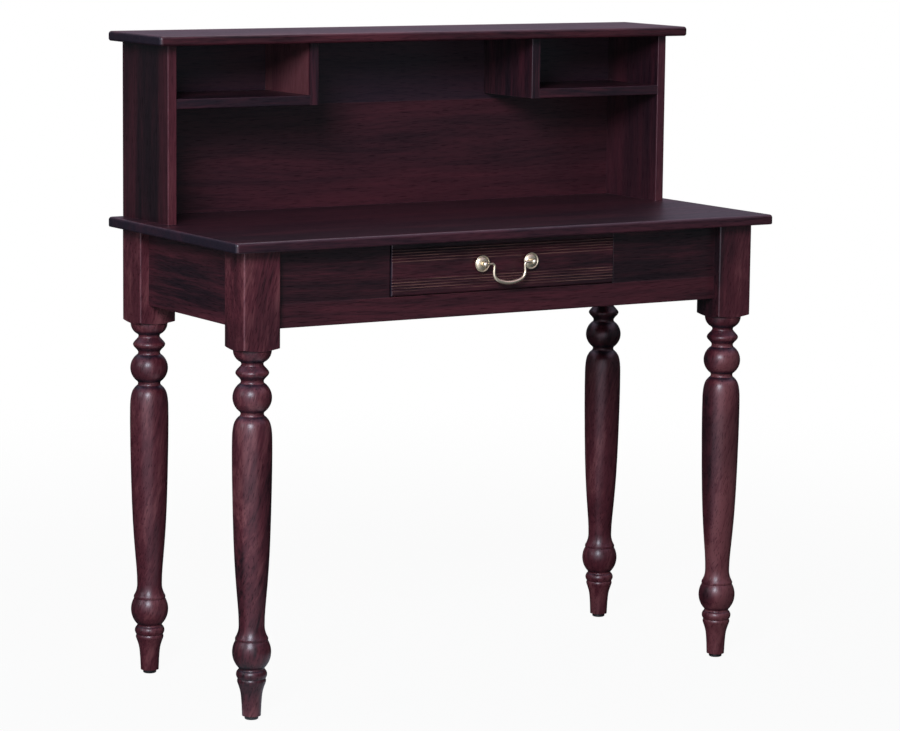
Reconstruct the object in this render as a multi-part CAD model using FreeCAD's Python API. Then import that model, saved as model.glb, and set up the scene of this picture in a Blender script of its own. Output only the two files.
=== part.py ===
import FreeCAD, Part
import math
import os

from enum import IntEnum
from FreeCAD import Vector

# Bonheur du jour: a writing desk on four turned legs, with one drawer and a hutch
# of two pigeonholes at the back of its top. Millimetres, +Z up. The origin lies on the floor
# under the middle of the writing top. The drawer faces -Y, and +X is on the sitter's right.

X, Y, Z = "x", "y", "z"
UPWARD = Vector(0, 0, 1)
FORWARD = Vector(0, -1, 0)
BACKWARD = Vector(0, 1, 0)


class Side(IntEnum):
    """The side of the middle that a piece is on, as the sign of its x."""
    LEFT = -1
    RIGHT = 1


class End(IntEnum):
    """The end of the desk that a piece is at, as the sign of its y."""
    FRONT = -1
    REAR = 1


# Overall sizes
top_width = 1020.0
top_depth = 450.0
writing_height = 764.0

# Writing top
top_thickness = 16.5
top_corner_round = 6.0
top_upper_round = 5.0
top_lower_round = 2.5
side_overhang = 26.5
front_overhang = 25.0
back_overhang = 0.5

# Legs
leg_square = 65.0
leg_arris_round = 3.0
block_below_apron = 28.0
pommel_rise = 4.5

# The turned length of a leg, from the foot up: shares of its length and of the square's width.
foot_end_shares = (0.000, 0.460)
turning_shares = [
    ("curve", (0.013, 0.468), (0.046, 0.502), (0.070, 0.562), (0.0864, 0.655), (0.0918, 0.690)),
    ("arc", (0.096, 0.706), (0.103, 0.672)),
    ("arc", (0.1165, 0.756), (0.1275, 0.650)),
    ("arc", (0.1305, 0.632), (0.1335, 0.652)),
    ("arc", (0.176, 0.951), (0.2085, 0.788)),
    ("line", (0.2100, 0.810)),
    ("line", (0.2150, 0.806)),
    ("arc", (0.2295, 0.684), (0.2500, 0.632)),
    ("curve", (0.2850, 0.653), (0.317, 0.699), (0.399, 0.814), (0.480, 0.888), (0.591, 0.945),
     (0.700, 0.975), (0.750, 0.974), (0.790, 0.926), (0.802, 0.871), (0.8108, 0.791),
     (0.8162, 0.714), (0.8205, 0.632)),
    ("arc", (0.8272, 0.566), (0.8335, 0.612)),
    ("arc", (0.871, 0.953), (0.908, 0.640)),
    ("arc", (0.9152, 0.556), (0.9205, 0.585)),
    ("curve", (0.9259, 0.665), (0.9321, 0.768), (0.9385, 0.815), (0.9448, 0.768), (0.9514, 0.660),
     (0.9565, 0.585)),
    ("arc", (0.9618, 0.537), (0.9682, 0.600)),
    ("arc", (0.981, 0.845), (0.9945, 0.930)),
    ("line", (1.000, 0.940)),
]

# Foot glides
glide_diameter = 22.0
glide_height = 6.0
glide_round = 2.0
glide_nail_diameter = 3.0
glide_nail_length = 18.0

# Aprons, front rail and front panels
apron_height = 125.5
apron_thickness = 18.0
apron_setback = 16.0
apron_arris_round = 1.5
rail_height = 38.0
tenon_length = 25.0
tenon_thickness = 9.0
tenon_shoulder = 12.0
mortise_clearance = 0.2
mortise_end_gap = 1.0

# Corner blocks and hanger bolts
corner_block_reach = 60.0
corner_block_height = 70.0
corner_block_drop = 30.0
bolt_diameter = 6.0
bolt_in_leg = 32.0
bolt_end_length = 3.0
bolt_clearance = 0.1
washer_diameter = 16.0
washer_thickness = 1.5
nut_flats = 10.0
nut_thickness = 5.0

# Drawer opening, runners, guides, kickers and stops
drawer_opening_width = 426.0
drawer_side_gap = 1.0
drawer_edge_gap = 1.2
running_gap = 0.3
runner_ledge = 14.0
guide_width = 18.0
guide_height = 28.0
runner_thickness = 22.0
kicker_thickness = 18.0
kicker_gap = 1.0
drawer_stop_length = 29.5

# Drawer
drawer_front_thickness = 20.0
drawer_proud = 3.0
drawer_front_round = 2.5
drawer_side_thickness = 12.0
drawer_back_thickness = 12.0
drawer_back_inset = 8.0
drawer_back_drop = 6.0
drawer_bottom_thickness = 6.0
drawer_bottom_rise = 8.0
drawer_groove_depth = 5.0
drawer_tongue_length = 6.0
drawer_tongue_thickness = 6.0
drawer_tongue_shoulder = 6.0
drawer_side_round = 2.0
joint_clearance = 0.2

# Grooves of the drawer front, in one band at its top and one at its bottom
reed_count = 5
reed_margin = 10.0
reed_pitch = 4.5
reed_width = 2.9
reed_depth = 1.3

# Bail handle
post_spacing = 93.0
post_standoff = 15.2
handle_rise = 2.5
post_ball_diameter = 9.5
post_neck_diameter = 7.0
post_shank_diameter = 4.0
post_shank_clearance = 0.1
post_end_length = 2.0
post_nut_flats = 7.0
post_nut_thickness = 3.2
rosette_diameter = 27.0
rosette_thickness = 10.0

# The outline of a rosette, from its foot to its crown: shares of its radius and of its thickness.
rosette_foot_shares = (0.70, 0.00)
rosette_shares = [
    ("line", (0.70, 0.09)),
    ("arc", (0.42, 0.24), (0.36, 0.46)),
    ("arc", (0.50, 0.57), (0.88, 0.63)),
    ("arc", (1.00, 0.71), (0.90, 0.78)),
    ("line", (0.84, 0.73)),
    ("arc", (0.62, 0.90), (0.30, 1.00)),
]

# The bail of the handle
bail_end_diameter = 4.2
bail_middle_diameter = 6.6
bail_pin_diameter = 3.4
bail_running_clearance = 0.06
bail_post_gap = 0.4
bail_arm_spacing = 58.0
bail_arm_lean = 5.0
bail_drop = 31.8
bail_shoulder_round = 4.5
bail_corner_round = 14.0
bail_bow_slope = 24.0
bail_arc_pieces = 4

# Cleats and their screws
cleat_size = 20.0
cleat_end_gap = 8.0
cleat_screw_shares = (0.15, 0.50, 0.85)
cleat_middle_share = 0.50
screw_diameter = 4.0
screw_head_diameter = 8.0
screw_head_height = 2.6
screw_clearance = 0.06
screw_slot_width = 1.0
screw_slot_depth = 0.9
cleat_screw_length = 30.0

# Hutch
hutch_side_inset = 27.5
hutch_back_inset = 1.5
hutch_depth = 163.0
hutch_board = 16.0
hutch_arris_round = 1.5
hutch_top_thickness = 16.0
hutch_top_side_overhang = 26.5
hutch_top_front_overhang = 27.0
hutch_top_corner_round = 6.0
hutch_top_upper_round = 5.0
hutch_top_lower_round = 4.0
back_board_thickness = 9.0
back_rebate = 8.0
back_joint_height = 175.0
shelf_clear_height = 185.0
shelf_thickness = 16.0
pigeonhole_height = 86.0
centre_bay_width = 414.0
divider_thickness = 16.0
shelf_tongue_length = 5.0
shelf_tongue_thickness = 8.0
shelf_tongue_stop = 10.0
dowel_diameter = 8.0
dowel_in_top = 10.0
dowel_in_board = 25.0
dowel_end_gap = 1.0
dowel_clearance = 0.05
dowel_shares = (0.20, 0.80)
hutch_screw_length = 45.0
hutch_screw_shares = (0.20, 0.80)
back_screw_length = 20.0
lower_back_screw_shares = (0.12, 0.50, 0.88)
upper_back_screw_shares = (0.20, 0.80)

# Room beyond a face for the tools that cut it, and the room within which two places count as one
overrun = 1.0
match_tolerance = 0.001

# Places that follow from the sizes
half_width = top_width / 2
top_front = -top_depth / 2
top_back = top_depth / 2
top_underside = writing_height - top_thickness
apron_bottom = top_underside - apron_height
block_bottom = apron_bottom - block_below_apron
turned_top = block_bottom - pommel_rise
leg_outer = half_width - side_overhang
leg_inner = leg_outer - leg_square
leg_middle = leg_outer - leg_square / 2
front_leg = (top_front + front_overhang, top_front + front_overhang + leg_square)
rear_leg = (top_back - back_overhang - leg_square, top_back - back_overhang)
apron_front = front_leg[0] + apron_setback
apron_front_inner = apron_front + apron_thickness
apron_rear = rear_leg[1] - apron_setback
apron_rear_inner = apron_rear - apron_thickness
apron_side = leg_outer - apron_setback
apron_side_inner = apron_side - apron_thickness
rail_top = apron_bottom + rail_height
opening_half = drawer_opening_width / 2
drawer_half = opening_half - drawer_side_gap
drawer_side_inner = drawer_half - drawer_side_thickness
drawer_face = apron_front - drawer_proud
drawer_front_inner = drawer_face + drawer_front_thickness
drawer_front_low = rail_top + drawer_edge_gap
drawer_front_high = top_underside - drawer_edge_gap
drawer_side_low = rail_top + running_gap
kicker_low = top_underside - kicker_thickness
drawer_side_high = kicker_low - kicker_gap
drawer_rear = apron_rear_inner - drawer_stop_length
drawer_bottom_low = drawer_side_low + drawer_bottom_rise
drawer_bottom_high = drawer_bottom_low + drawer_bottom_thickness
drawer_back_rear = drawer_rear - drawer_back_inset
handle_height = (drawer_front_low + drawer_front_high) / 2 + handle_rise
bail_axis = drawer_face - post_standoff
hutch_outer = half_width - hutch_side_inset
hutch_inner = hutch_outer - hutch_board
hutch_back = top_back - hutch_back_inset
hutch_front = hutch_back - hutch_depth
back_board_front = hutch_back - back_board_thickness
back_joint = writing_height + back_joint_height
shelf_low = writing_height + shelf_clear_height
shelf_high = shelf_low + shelf_thickness
hutch_top_low = shelf_high + pigeonhole_height
total_height = hutch_top_low + hutch_top_thickness
divider_inner = centre_bay_width / 2
divider_outer = divider_inner + divider_thickness


def group(solids):
    return Part.makeCompound(solids)


def block(x_range, y_range, z_range):
    """A rectangular solid from three ranges, each low then high."""
    low = Vector(x_range[0], y_range[0], z_range[0])
    high = Vector(x_range[1], y_range[1], z_range[1])
    size = high - low
    return Part.makeBox(size.x, size.y, size.z, low)


def across(side, inner, outer):
    """The x range of a piece on one side of the middle, from its distances to the middle."""
    return tuple(sorted((side * inner, side * outer)))


def grown(span, room):
    """A range made longer by the same room at both ends."""
    return (span[0] - room, span[1] + room)


def along_share(span, share):
    """The place at a share of a range."""
    return span[0] + (span[1] - span[0]) * share


def lies_at(edge, axis, place):
    """Whether both ends of an edge have one coordinate at a place."""
    return all(abs(getattr(vertex.Point, axis) - place) < match_tolerance for vertex in edge.Vertexes)


def rounded(shape, radius, *corners):
    """Round each edge that lies in every plane of one of the corners, each plane an axis and a place."""
    edges = [edge for edge in shape.Edges
             if any(all(lies_at(edge, *plane) for plane in corner) for corner in corners)]
    return shape.makeFillet(radius, edges)


def placed(shape, base, direction):
    """Turn a shape made along +Z to a direction, and move its origin to a base point."""
    shape.Placement = FreeCAD.Placement(base, FreeCAD.Rotation(UPWARD, direction))
    return shape


def rod(radius, base, direction, length):
    """A round bar from a base point along a direction."""
    return Part.makeCylinder(radius, length, base, direction)


def hexagon_nut(flats, thickness, bore_radius):
    """A six-sided nut on the +Z axis, standing on the origin."""
    corner = flats / math.sqrt(3)
    points = [Vector(corner * math.cos(turn * math.pi / 3), corner * math.sin(turn * math.pi / 3), 0)
              for turn in range(6)]
    outline = Part.Face(Part.makePolygon(points + points[:1]))
    solid = outline.extrude(Vector(0, 0, thickness))
    return solid.cut(Part.makeCylinder(bore_radius, thickness))


def screw(base, direction, length, room=0):
    """A countersunk screw whose head is flush with its base point, or the hole for it when given room."""
    shank = rod(screw_diameter / 2 + room, base, direction, length + room)
    head = Part.makeCone(screw_head_diameter / 2 + room, screw_diameter / 2 + room, screw_head_height,
                         base, direction)
    return shank.fuse(head)


def slotted_screw(base, direction, length):
    """A countersunk screw with a straight slot across its head."""
    slot = Part.makeBox(screw_head_diameter, screw_slot_width, screw_slot_depth + overrun,
                        Vector(-screw_head_diameter / 2, -screw_slot_width / 2, -overrun))
    return screw(base, direction, length).cut(placed(slot, base, direction))


def screw_holes(places, direction, length):
    return [screw(place, direction, length, screw_clearance) for place in places]


def screws(places, direction, length):
    return group([slotted_screw(place, direction, length) for place in places])


def outline_edges(start, steps, place):
    """Edges of an outline given by shares: lines, arcs through a point, and smooth curves."""
    edges = []
    here = place(start)
    for kind, *shares in steps:
        points = [place(share) for share in shares]
        if kind == "line":
            edges.append(Part.LineSegment(here, points[0]).toShape())
        elif kind == "arc":
            edges.append(Part.Arc(here, *points).toShape())
        else:
            curve = Part.BSplineCurve()
            curve.interpolate([here] + points)
            edges.append(curve.toShape())
        here = points[-1]
    return edges


def turned(edges, foot, head):
    """A solid of revolution about +Z from an outline and the two points that close it on the axis."""
    first = edges[0].Vertexes[0].Point
    last = edges[-1].Vertexes[-1].Point
    closing = [Part.makeLine(last, head), Part.makeLine(head, foot), Part.makeLine(foot, first)]
    wire = Part.Wire(edges + closing)
    return Part.Face(wire).revolve(Vector(0, 0, 0), UPWARD, 360)


# Joints of the aprons in the legs

def apron_tenon(x_range, y_range, z_range, axis, room=0):
    """The tenon that fills a range at the end of an apron, or its mortise when given room."""
    ranges = {X: x_range, Y: y_range}
    thin = X if axis == Y else Y
    middle = sum(ranges[thin]) / 2
    ranges[thin] = grown((middle, middle), tenon_thickness / 2 + room)
    end_room = mortise_end_gap if room else 0
    ranges[axis] = grown(ranges[axis], end_room)
    height = grown((z_range[0] + tenon_shoulder, z_range[1] - tenon_shoulder), room)
    return block(ranges[X], ranges[Y], height)


def long_tenon(side, y_range, z_range, room=0):
    """The tenon of a piece that runs along the desk, in the leg at one side, or its mortise given room."""
    x_range = across(side, leg_inner, leg_inner + tenon_length)
    return apron_tenon(x_range, y_range, z_range, X, room)


def side_tenon(side, end, room=0):
    """The tenon of a side apron in its front or rear leg, or its mortise given room."""
    y_range = (rear_leg[0], rear_leg[0] + tenon_length)
    if end == End.FRONT:
        y_range = (front_leg[1] - tenon_length, front_leg[1])
    x_range = across(side, apron_side_inner, apron_side)
    return apron_tenon(x_range, y_range, (apron_bottom, top_underside), Y, room)


def leg_mortises(side, end):
    """The mortises of one leg, cut for the tenons of the pieces that meet it."""
    y_range = (apron_rear_inner, apron_rear)
    heights = [(apron_bottom, top_underside)]
    if end == End.FRONT:
        y_range = (apron_front, apron_front_inner)
        heights = [(apron_bottom, rail_top), (rail_top, top_underside)]
    cuts = [long_tenon(side, y_range, height, mortise_clearance) for height in heights]
    return cuts + [side_tenon(side, end, mortise_clearance)]


# Corner bolts

def bolt_line(side, end):
    """Where a hanger bolt leaves its leg, and its direction into the desk."""
    corner_y = front_leg[1] if end == End.FRONT else rear_leg[0]
    height = top_underside - corner_block_drop - corner_block_height / 2
    start = Vector(side * leg_inner, corner_y, height)
    return start, Vector(-side, -end, 0).normalize()


def block_thickness():
    """The corner block's thickness along its bolt, from the leg's corner to the block's long face."""
    return (corner_block_reach - (apron_side_inner - leg_inner)) / math.sqrt(2)


def hanger_bolt(side, end, room=0):
    start, inward = bolt_line(side, end)
    length = bolt_in_leg + block_thickness() + washer_thickness + nut_thickness + bolt_end_length
    return rod(bolt_diameter / 2 + room, start - inward * (bolt_in_leg + room), inward, length + room)


def corner_washer(side, end):
    start, inward = bolt_line(side, end)
    ring = Part.makeCylinder(washer_diameter / 2, washer_thickness)
    ring = ring.cut(Part.makeCylinder(bolt_diameter / 2 + bolt_clearance, washer_thickness))
    return placed(ring, start + inward * block_thickness(), inward)


def corner_nut(side, end):
    start, inward = bolt_line(side, end)
    nut = hexagon_nut(nut_flats, nut_thickness, bolt_diameter / 2 + bolt_clearance)
    return placed(nut, start + inward * (block_thickness() + washer_thickness), inward)


def corner_block(side, end):
    """A block that fills the corner behind a leg, notched round the leg's inner corner."""
    leg_y = front_leg[1] if end == End.FRONT else rear_leg[0]
    apron_y = apron_front_inner if end == End.FRONT else apron_rear_inner
    low = top_underside - corner_block_drop - corner_block_height
    inner = side * leg_inner
    outer = side * apron_side_inner
    plan = [(inner, apron_y), (inner, leg_y), (outer, leg_y), (outer, leg_y - end * corner_block_reach),
            (inner - side * corner_block_reach, apron_y)]
    points = [Vector(x, y, low) for x, y in plan]
    solid = Part.Face(Part.makePolygon(points + points[:1])).extrude(Vector(0, 0, corner_block_height))
    return solid.cut(hanger_bolt(side, end, bolt_clearance))


# Legs and glides

def leg_middle_y(end):
    return sum(front_leg if end == End.FRONT else rear_leg) / 2


def leg_block():
    """The square head of a leg, rounded along its arrises and turned to a shallow cone below."""
    half = leg_square / 2
    solid = block((-half, half), (-half, half), (turned_top, top_underside))
    arrises = [((X, x), (Y, y)) for x in (-half, half) for y in (-half, half)]
    solid = rounded(solid, leg_arris_round, *arrises)
    cup = turning_shares[-1][-1][1] * half
    corner = half * math.sqrt(2)
    outline = [Vector(0, 0, turned_top), Vector(cup, 0, turned_top), Vector(corner, 0, block_bottom),
               Vector(corner, 0, top_underside), Vector(0, 0, top_underside)]
    cone = Part.Face(Part.makePolygon(outline + outline[:1])).revolve(Vector(0, 0, 0), UPWARD, 360)
    return solid.common(cone)


def leg_turning():
    """The turned length of a leg, from its foot to the cup under the square."""
    def place(share):
        return Vector(share[1] * leg_square / 2, 0, along_share((glide_height, turned_top), share[0]))
    edges = outline_edges(foot_end_shares, turning_shares, place)
    return turned(edges, Vector(0, 0, glide_height), Vector(0, 0, turned_top))


def leg(side, end):
    solid = leg_block().fuse(leg_turning()).removeSplitter()
    nail_hole = Part.makeCylinder(glide_nail_diameter / 2 + screw_clearance,
                                  glide_nail_length + mortise_end_gap, Vector(0, 0, glide_height))
    solid = solid.cut(nail_hole)
    solid.translate(Vector(side * leg_middle, leg_middle_y(end), 0))
    solid = solid.cut(leg_mortises(side, end))
    return solid.cut(hanger_bolt(side, end, bolt_clearance))


def glide(side, end):
    """A round button with a nail, pressed into the end of a foot."""
    disc = Part.makeCylinder(glide_diameter / 2, glide_height)
    disc = disc.makeFillet(glide_round, [edge for edge in disc.Edges if lies_at(edge, Z, 0)])
    nail = Part.makeCylinder(glide_nail_diameter / 2, glide_nail_length, Vector(0, 0, glide_height))
    solid = disc.fuse(nail)
    solid.translate(Vector(side * leg_middle, leg_middle_y(end), 0))
    return solid


# Frame under the top

def front_rail():
    y_range = (apron_front, apron_front_inner)
    z_range = (apron_bottom, rail_top)
    solid = block((-leg_inner, leg_inner), y_range, z_range)
    solid = rounded(solid, apron_arris_round, ((Y, apron_front), (Z, apron_bottom)))
    return solid.fuse([long_tenon(side, y_range, z_range) for side in Side]).removeSplitter()


def front_panel(side):
    y_range = (apron_front, apron_front_inner)
    z_range = (rail_top, top_underside)
    solid = block(across(side, opening_half, leg_inner), y_range, z_range)
    solid = rounded(solid, apron_arris_round, ((X, side * opening_half), (Y, apron_front)))
    return solid.fuse(long_tenon(side, y_range, z_range)).removeSplitter()


def side_apron(side):
    x_range = across(side, apron_side_inner, apron_side)
    z_range = (apron_bottom, top_underside)
    solid = block(x_range, (front_leg[1], rear_leg[0]), z_range)
    solid = rounded(solid, apron_arris_round, ((X, side * apron_side), (Z, apron_bottom)))
    return solid.fuse([side_tenon(side, end) for end in End]).removeSplitter()


def rear_apron():
    y_range = (apron_rear_inner, apron_rear)
    z_range = (apron_bottom, top_underside)
    solid = block((-leg_inner, leg_inner), y_range, z_range)
    solid = rounded(solid, apron_arris_round, ((Y, apron_rear), (Z, apron_bottom)))
    return solid.fuse([long_tenon(side, y_range, z_range) for side in Side]).removeSplitter()


def drawer_runner(side):
    x_range = across(side, drawer_half - runner_ledge, opening_half + guide_width)
    return block(x_range, (apron_front_inner, apron_rear_inner), (rail_top - runner_thickness, rail_top))


def drawer_guide(side):
    x_range = across(side, opening_half, opening_half + guide_width)
    return block(x_range, (apron_front_inner, apron_rear_inner), (rail_top, rail_top + guide_height))


def drawer_kicker(side):
    x_range = across(side, drawer_half - runner_ledge, opening_half + guide_width)
    return block(x_range, (apron_front_inner, apron_rear_inner), (kicker_low, top_underside))


def drawer_stop(side):
    """A block on the runner that the end of a drawer side meets when the drawer is shut."""
    x_range = across(side, drawer_side_inner, drawer_half)
    return block(x_range, (drawer_rear, apron_rear_inner), (rail_top, rail_top + guide_height))


# Cleats that hold the writing top

def cleat_ranges():
    """The x, y and z ranges of the left, right and rear cleats."""
    z_range = (top_underside - cleat_size, top_underside)
    side_y = grown((front_leg[1], rear_leg[0]), -cleat_end_gap)
    rear_x = grown((-drawer_side_inner, drawer_side_inner), -cleat_end_gap - runner_ledge)
    return {
        "left": (across(Side.LEFT, apron_side_inner - cleat_size, apron_side_inner), side_y, z_range),
        "right": (across(Side.RIGHT, apron_side_inner - cleat_size, apron_side_inner), side_y, z_range),
        "rear": (rear_x, (apron_rear_inner - cleat_size, apron_rear_inner), z_range),
    }


def cleat_screw_places(ranges):
    """Where the screws enter a cleat, along the middle of its underside."""
    x_range, y_range, z_range = ranges
    lengthwise = y_range[1] - y_range[0] > x_range[1] - x_range[0]
    places = []
    for share in cleat_screw_shares:
        x = along_share(x_range, cleat_middle_share if lengthwise else share)
        y = along_share(y_range, share if lengthwise else cleat_middle_share)
        places.append(Vector(x, y, z_range[0]))
    return places


def all_cleat_screw_places():
    return [place for ranges in cleat_ranges().values() for place in cleat_screw_places(ranges)]


def cleat(ranges):
    return block(*ranges).cut(screw_holes(cleat_screw_places(ranges), UPWARD, cleat_screw_length))


# Writing top

def hutch_screw_places():
    """Where the screws enter the underside of the writing top, below the sides of the hutch."""
    x = hutch_outer - hutch_board / 2
    return [Vector(side * x, along_share((hutch_front, rear_leg[0]), share), top_underside)
            for side in Side for share in hutch_screw_shares]


def writing_top():
    x_range = (-half_width, half_width)
    y_range = (top_front, top_back)
    solid = block(x_range, y_range, (top_underside, writing_height))
    solid = rounded(solid, top_corner_round, *[((X, x), (Y, y)) for x in x_range for y in y_range])
    solid = rounded(solid, top_upper_round, ((Z, writing_height),))
    solid = rounded(solid, top_lower_round, ((Z, top_underside),))
    holes = screw_holes(all_cleat_screw_places(), UPWARD, cleat_screw_length)
    return solid.cut(holes + screw_holes(hutch_screw_places(), UPWARD, hutch_screw_length))


# Hutch

def dowel_places():
    """Where the dowels stand in the joints under the hutch top: in its sides and its dividers."""
    lines = [side * place for side in Side
             for place in (hutch_outer - hutch_board / 2, divider_inner + divider_thickness / 2)]
    return [Vector(x, along_share((hutch_front, back_board_front), share), hutch_top_low)
            for x in lines for share in dowel_shares]


def hutch_dowel(place, room=0, end_room=0):
    base = place - Vector(0, 0, dowel_in_board - dowel_end_gap + end_room)
    length = dowel_in_board + dowel_in_top - 2 * dowel_end_gap + 2 * end_room
    return rod(dowel_diameter / 2 + room, base, UPWARD, length)


def dowel_holes():
    return [hutch_dowel(place, dowel_clearance, dowel_end_gap) for place in dowel_places()]


def hutch_top():
    half = hutch_outer + hutch_top_side_overhang
    x_range = (-half, half)
    y_range = (hutch_front - hutch_top_front_overhang, top_back)
    solid = block(x_range, y_range, (hutch_top_low, total_height))
    solid = rounded(solid, hutch_top_corner_round, *[((X, x), (Y, y)) for x in x_range for y in y_range])
    solid = rounded(solid, hutch_top_upper_round, ((Z, total_height),))
    solid = rounded(solid, hutch_top_lower_round, ((Z, hutch_top_low),))
    return solid.cut(dowel_holes())


def shelf_tongue(side, at_side, room=0):
    """The tongue on one end of a shelf, at the hutch side or at the divider, or its groove given room."""
    x_range = across(side, divider_outer - shelf_tongue_length, divider_outer)
    if at_side:
        x_range = across(side, hutch_inner, hutch_inner + shelf_tongue_length)
    middle = (shelf_low + shelf_high) / 2
    z_range = grown((middle, middle), shelf_tongue_thickness / 2 + room)
    y_range = (hutch_front + shelf_tongue_stop - room, back_board_front)
    return block(grown(x_range, room), y_range, z_range)


def shelf(side):
    solid = block(across(side, divider_outer, hutch_inner), (hutch_front, back_board_front),
                  (shelf_low, shelf_high))
    arrises = [((Y, hutch_front), (Z, height)) for height in (shelf_low, shelf_high)]
    solid = rounded(solid, hutch_arris_round, *arrises)
    return solid.fuse([shelf_tongue(side, True), shelf_tongue(side, False)]).removeSplitter()


def divider(side):
    solid = block(across(side, divider_inner, divider_outer), (hutch_front, back_board_front),
                  (shelf_low, hutch_top_low))
    solid = rounded(solid, hutch_arris_round, ((Y, hutch_front), (X, side * divider_inner)))
    return solid.cut(dowel_holes() + [shelf_tongue(side, False, joint_clearance)] + back_screw_holes())


def hutch_side(side):
    solid = block(across(side, hutch_inner, hutch_outer), (hutch_front, hutch_back),
                  (writing_height, hutch_top_low))
    arrises = [((Y, hutch_front), (X, side * face)) for face in (hutch_inner, hutch_outer)]
    solid = rounded(solid, hutch_arris_round, *arrises)
    rebate = block(across(side, hutch_inner - overrun, hutch_inner + back_rebate),
                   (back_board_front, hutch_back + overrun),
                   grown((writing_height, hutch_top_low), overrun))
    holes = screw_holes(hutch_screw_places(), UPWARD, hutch_screw_length)
    tongue = shelf_tongue(side, True, joint_clearance)
    return solid.cut([rebate, tongue] + holes + dowel_holes() + back_screw_holes())


def back_screw_places():
    """Where the screws enter the back boards, into the sides and the dividers of the hutch."""
    side_line = hutch_inner + back_rebate / 2
    divider_line = divider_inner + divider_thickness / 2
    lower = [(side_line, along_share((writing_height, back_joint), share))
             for share in lower_back_screw_shares]
    upper = [(line, along_share((shelf_high, hutch_top_low), share))
             for line in (side_line, divider_line) for share in upper_back_screw_shares]
    return [Vector(side * x, hutch_back, z) for side in Side for x, z in lower + upper]


def back_screw_holes():
    return screw_holes(back_screw_places(), FORWARD, back_screw_length)


def back_board(z_range):
    half = hutch_inner + back_rebate - joint_clearance
    solid = block((-half, half), (back_board_front, hutch_back), z_range)
    return solid.cut(back_screw_holes())


# Drawer

def drawer_bottom(room=0):
    """The thin panel in the drawer's grooves, or the space of those grooves when given room."""
    half = drawer_side_inner + drawer_groove_depth
    y_range = (drawer_front_inner - drawer_groove_depth, drawer_back_rear)
    if room:
        y_range = (y_range[0], drawer_rear + overrun)
    else:
        half -= joint_clearance
        y_range = (y_range[0] + joint_clearance, y_range[1])
    return block((-half, half), y_range, grown((drawer_bottom_low, drawer_bottom_high), room))


def drawer_tongue(side, room=0):
    """The tongue at the front end of a drawer side, or its groove in the drawer front given room."""
    x_range = across(side, drawer_side_inner, drawer_side_inner + drawer_tongue_thickness)
    z_range = (drawer_bottom_high + drawer_tongue_shoulder, drawer_side_high - drawer_tongue_shoulder)
    y_range = (drawer_front_inner - drawer_tongue_length, drawer_front_inner)
    return block(grown(x_range, room), grown(y_range, room), grown(z_range, room))


def reed_heights():
    """The heights of the grooves in the drawer front, counted in from its bottom and its top."""
    steps = [reed_margin + reed_pitch * count for count in range(reed_count)]
    return [drawer_front_low + step for step in steps] + [drawer_front_high - step for step in steps]


def reed_groove(height):
    """A round-bottomed groove that runs past both ends of the drawer front."""
    radius = (reed_width ** 2 / 4 + reed_depth ** 2) / (2 * reed_depth)
    base = Vector(-drawer_half - overrun, drawer_face + reed_depth - radius, height)
    return rod(radius, base, Vector(1, 0, 0), 2 * (drawer_half + overrun))


def post_places():
    return [Vector(side * post_spacing / 2, drawer_face, handle_height) for side in Side]


def post_hole(place):
    radius = post_shank_diameter / 2 + post_shank_clearance
    return rod(radius, place - BACKWARD * overrun, BACKWARD, drawer_front_thickness + 2 * overrun)


def drawer_front():
    x_range = (-drawer_half, drawer_half)
    z_range = (drawer_front_low, drawer_front_high)
    solid = block(x_range, (drawer_face, drawer_front_inner), z_range)
    solid = rounded(solid, drawer_front_round, ((Y, drawer_face),))
    solid = solid.cut([reed_groove(height) for height in reed_heights()])
    solid = solid.cut([drawer_tongue(side, joint_clearance) for side in Side])
    solid = solid.cut(drawer_bottom(joint_clearance))
    return solid.cut([post_hole(place) for place in post_places()])


def drawer_back(room=0):
    """The back of the drawer, whose ends are housed in the sides, or their housings when given room."""
    half = drawer_side_inner + drawer_groove_depth - joint_clearance + room
    y_range = (drawer_back_rear - drawer_back_thickness, drawer_back_rear)
    z_range = (drawer_bottom_high, drawer_side_high - drawer_back_drop)
    if room:
        return block((-half, half), grown(y_range, room), (z_range[0], drawer_side_high + overrun))
    return block((-half, half), y_range, z_range)


def drawer_side(side):
    x_range = across(side, drawer_side_inner, drawer_half)
    solid = block(x_range, (drawer_front_inner, drawer_rear), (drawer_side_low, drawer_side_high))
    solid = rounded(solid, drawer_side_round, *[((X, x), (Z, drawer_side_high)) for x in x_range])
    solid = solid.cut([drawer_bottom(joint_clearance), drawer_back(joint_clearance)])
    return solid.fuse(drawer_tongue(side)).removeSplitter()


# Bail handle

def rosette(place):
    """A turned plate under a post: a foot, a neck and a thin domed disc, bored for the post's shank."""
    radius = rosette_diameter / 2

    def point(share):
        return Vector(share[0] * radius, 0, share[1] * rosette_thickness)
    edges = outline_edges(rosette_foot_shares, rosette_shares, point)
    solid = turned(edges, Vector(0, 0, 0), Vector(0, 0, rosette_thickness))
    solid = solid.cut(Part.makeCylinder(post_shank_diameter / 2 + post_shank_clearance, rosette_thickness))
    return placed(solid, place, FORWARD)


def handle_post(place, side):
    """A post with a ball that takes one end of the bail, and a shank through the drawer front."""
    behind = drawer_front_thickness + post_nut_thickness + post_end_length
    shank = Part.makeCylinder(post_shank_diameter / 2, behind + rosette_thickness, Vector(0, 0, -behind))
    neck = Part.makeCylinder(post_neck_diameter / 2, post_standoff - rosette_thickness,
                             Vector(0, 0, rosette_thickness))
    ball = Part.makeSphere(post_ball_diameter / 2, Vector(0, 0, post_standoff))
    solid = placed(shank.fuse([neck, ball]).removeSplitter(), place, FORWARD)
    radius = bail_pin_diameter / 2 + bail_running_clearance
    middle = Vector(place.x, bail_axis, place.z)
    return solid.cut(rod(radius, middle, Vector(-side, 0, 0), post_ball_diameter))


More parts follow.
